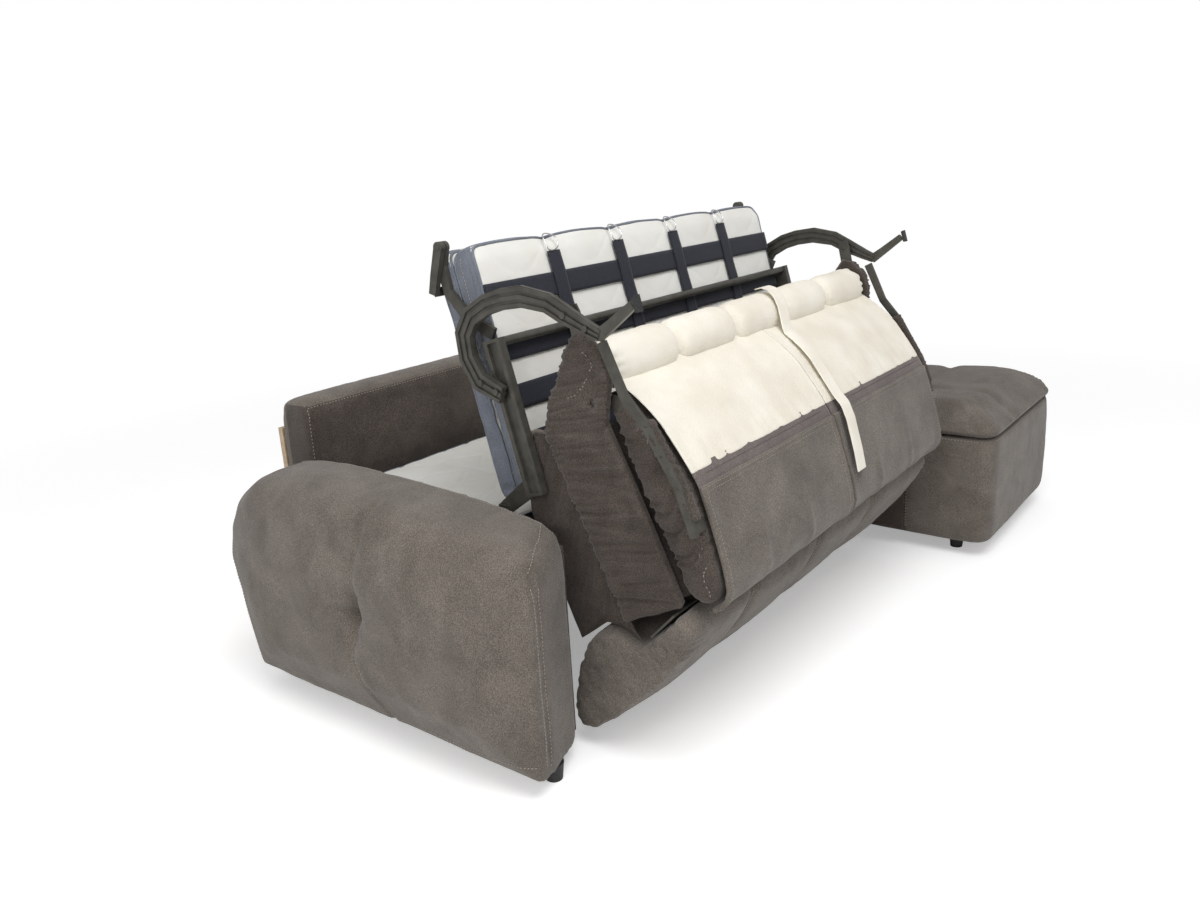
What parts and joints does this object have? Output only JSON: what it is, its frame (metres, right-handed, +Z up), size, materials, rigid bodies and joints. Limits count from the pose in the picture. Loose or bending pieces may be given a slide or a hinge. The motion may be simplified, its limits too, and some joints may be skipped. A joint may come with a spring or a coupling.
{
  "type": "sleeper sofa",
  "caption": "Chaise sofa with a three-fold bed caught half way out: seat and backrest tipped forward on steel leg arches, mattress rising on a lifting frame.",
  "frame": {"origin": "centre of the bounding box at floor level, in the half-open pose", "axes": "+Z up, -Y is the front that people sit facing, +X runs along the sofa towards the chaise"},
  "size_m": [2.512, 1.498, 1.1559],
  "materials": {
    "taupe_velvet": "suede-like woven velvet",
    "dark_lining": "gathered lining velvet",
    "cream_lining": "woven cream lining",
    "mattress_cover": "quilted cover with grey border",
    "black_webbing": "elastic webbing",
    "painted_steel": "satin olive grey paint",
    "bright_wire": "bright zinc",
    "timber": "plain board",
    "black_plastic": "matt"
  },
  "bodies": {
    "sofa_body": {"left_arm": "taupe_velvet", "left_arm_inner_board": "dark_lining", "right_arm": "taupe_velvet", "bed_side_wall": "dark_lining", "rear_panel": "dark_lining", "rear_panel_board": "timber", "body_feet": "black_plastic", "chaise_lining_panel": "dark_lining", "chaise_base": "taupe_velvet", "chaise_seat_cushion": "taupe_velvet", "chaise_feet": "black_plastic", "chaise_backrest": "taupe_velvet", "lift_guides": "painted_steel", "base_tie_bar": "painted_steel"},
    "head_section": {"head_mattress": "mattress_cover", "head_side_tubes": "painted_steel", "head_cross_tubes": "painted_steel", "head_slats": "timber", "head_hinge_brackets": "painted_steel", "lift_carriages": "painted_steel"},
    "fold_links": {"fold_hinge_links": "painted_steel"},
    "bed_middle": {"middle_mattress": "mattress_cover", "middle_side_rails": "painted_steel", "middle_cross_bars": "painted_steel", "middle_hinge_knuckles": "painted_steel", "cross_webbing": "black_webbing", "lengthwise_webbing": "black_webbing", "webbing_wire_loops": "bright_wire", "left_leg_arch": "painted_steel", "right_leg_arch": "painted_steel", "leg_end_caps": "black_plastic", "seat_pivot_pins": "painted_steel", "arch_rivets": "painted_steel", "foot_hinge_brackets": "painted_steel"},
    "bed_foot": {"foot_mattress": "mattress_cover", "foot_frame": "painted_steel", "foot_hinge_arms": "painted_steel"},
    "foot_leg": {"foot_leg": "painted_steel"},
    "seat": {"seat_cushion": "taupe_velvet", "seat_deck_board": "timber", "left_seat_gusset": "dark_lining", "right_seat_gusset": "dark_lining", "seat_hinge_arms": "painted_steel", "backrest_pivot_tube": "painted_steel", "left_border_bellows": "dark_lining", "right_border_bellows": "dark_lining"},
    "border_leaves": {"border_hinge_leaves": "painted_steel", "border_hinge_rail": "painted_steel"},
    "front_border": {"front_border": "taupe_velvet"},
    "backrest": {"left_back_cushion": "taupe_velvet", "right_back_cushion": "taupe_velvet", "left_back_lining": "cream_lining", "right_back_lining": "cream_lining", "left_back_flap": "taupe_velvet", "right_back_flap": "taupe_velvet", "back_zip_strips": "dark_lining", "back_lower_roll": "cream_lining", "backrest_side_bars": "painted_steel", "backrest_hinge_plates": "painted_steel", "pull_strap": "cream_lining"}
  },
  "joints": [
    {"name": "bed_lift", "type": "slide", "parent": "sofa_body", "child": "head_section", "axis": [0, 0, 1], "range_m": [-0.37, 0]},
    {"name": "bed_closing_turn", "type": "hinge", "parent": "head_section", "child": "fold_links", "pos_m": [0, -0.058, 0.54], "axis": [1, 0, 0], "range_deg": [-74.6, 0]},
    {"name": "bed_opening_turn", "type": "hinge", "parent": "fold_links", "child": "bed_middle", "pos_m": [0, -0.058, 0.54], "axis": [1, 0, 0], "range_deg": [0, 105.4]},
    {"name": "foot_section_unfold", "type": "hinge", "parent": "bed_middle", "child": "bed_foot", "pos_m": [0, 0.07104, 1.14028], "axis": [1, 0, 0], "range_deg": [0, 180]},
    {"name": "foot_leg_swing", "type": "hinge", "parent": "bed_foot", "child": "foot_leg", "pos_m": [0, -0.02328, 0.57193], "axis": [1, 0, 0], "range_deg": [-90, 0]},
    {"name": "seat_swing", "type": "hinge", "parent": "bed_middle", "child": "seat", "pos_m": [0, -0.29765, 1.01053], "axis": [1, 0, 0], "range_deg": [0, 10.05]},
    {"name": "border_follow", "type": "hinge", "parent": "seat", "child": "border_leaves", "pos_m": [0, -0.5368, 0.40544], "axis": [1, 0, 0], "range_deg": [0, 21.65], "deforming": ["left_border_bellows", "right_border_bellows"]},
    {"name": "border_tuck", "type": "hinge", "parent": "border_leaves", "child": "front_border", "pos_m": [0, -0.5368, 0.40544], "axis": [1, 0, 0], "range_deg": [-22, 0]},
    {"name": "backrest_fold", "type": "hinge", "parent": "seat", "child": "backrest", "pos_m": [0, -0.33741, 0.82441], "axis": [1, 0, 0], "range_deg": [-98, 0]}
  ],
  "couplings": [
    {"joint": "bed_lift", "follows": "bed_closing_turn", "m_per_rad": 0.28417},
    {"joint": "foot_section_unfold", "follows": "bed_opening_turn", "ratio": 1.7078},
    {"joint": "foot_leg_swing", "follows": "bed_opening_turn", "ratio": -0.85389},
    {"joint": "seat_swing", "follows": "bed_closing_turn", "ratio": -0.13472},
    {"joint": "border_follow", "follows": "bed_closing_turn", "ratio": -0.29021},
    {"joint": "border_tuck", "follows": "bed_opening_turn", "ratio": -0.20873},
    {"joint": "backrest_fold", "follows": "bed_closing_turn", "ratio": 1.3137}
  ]
}
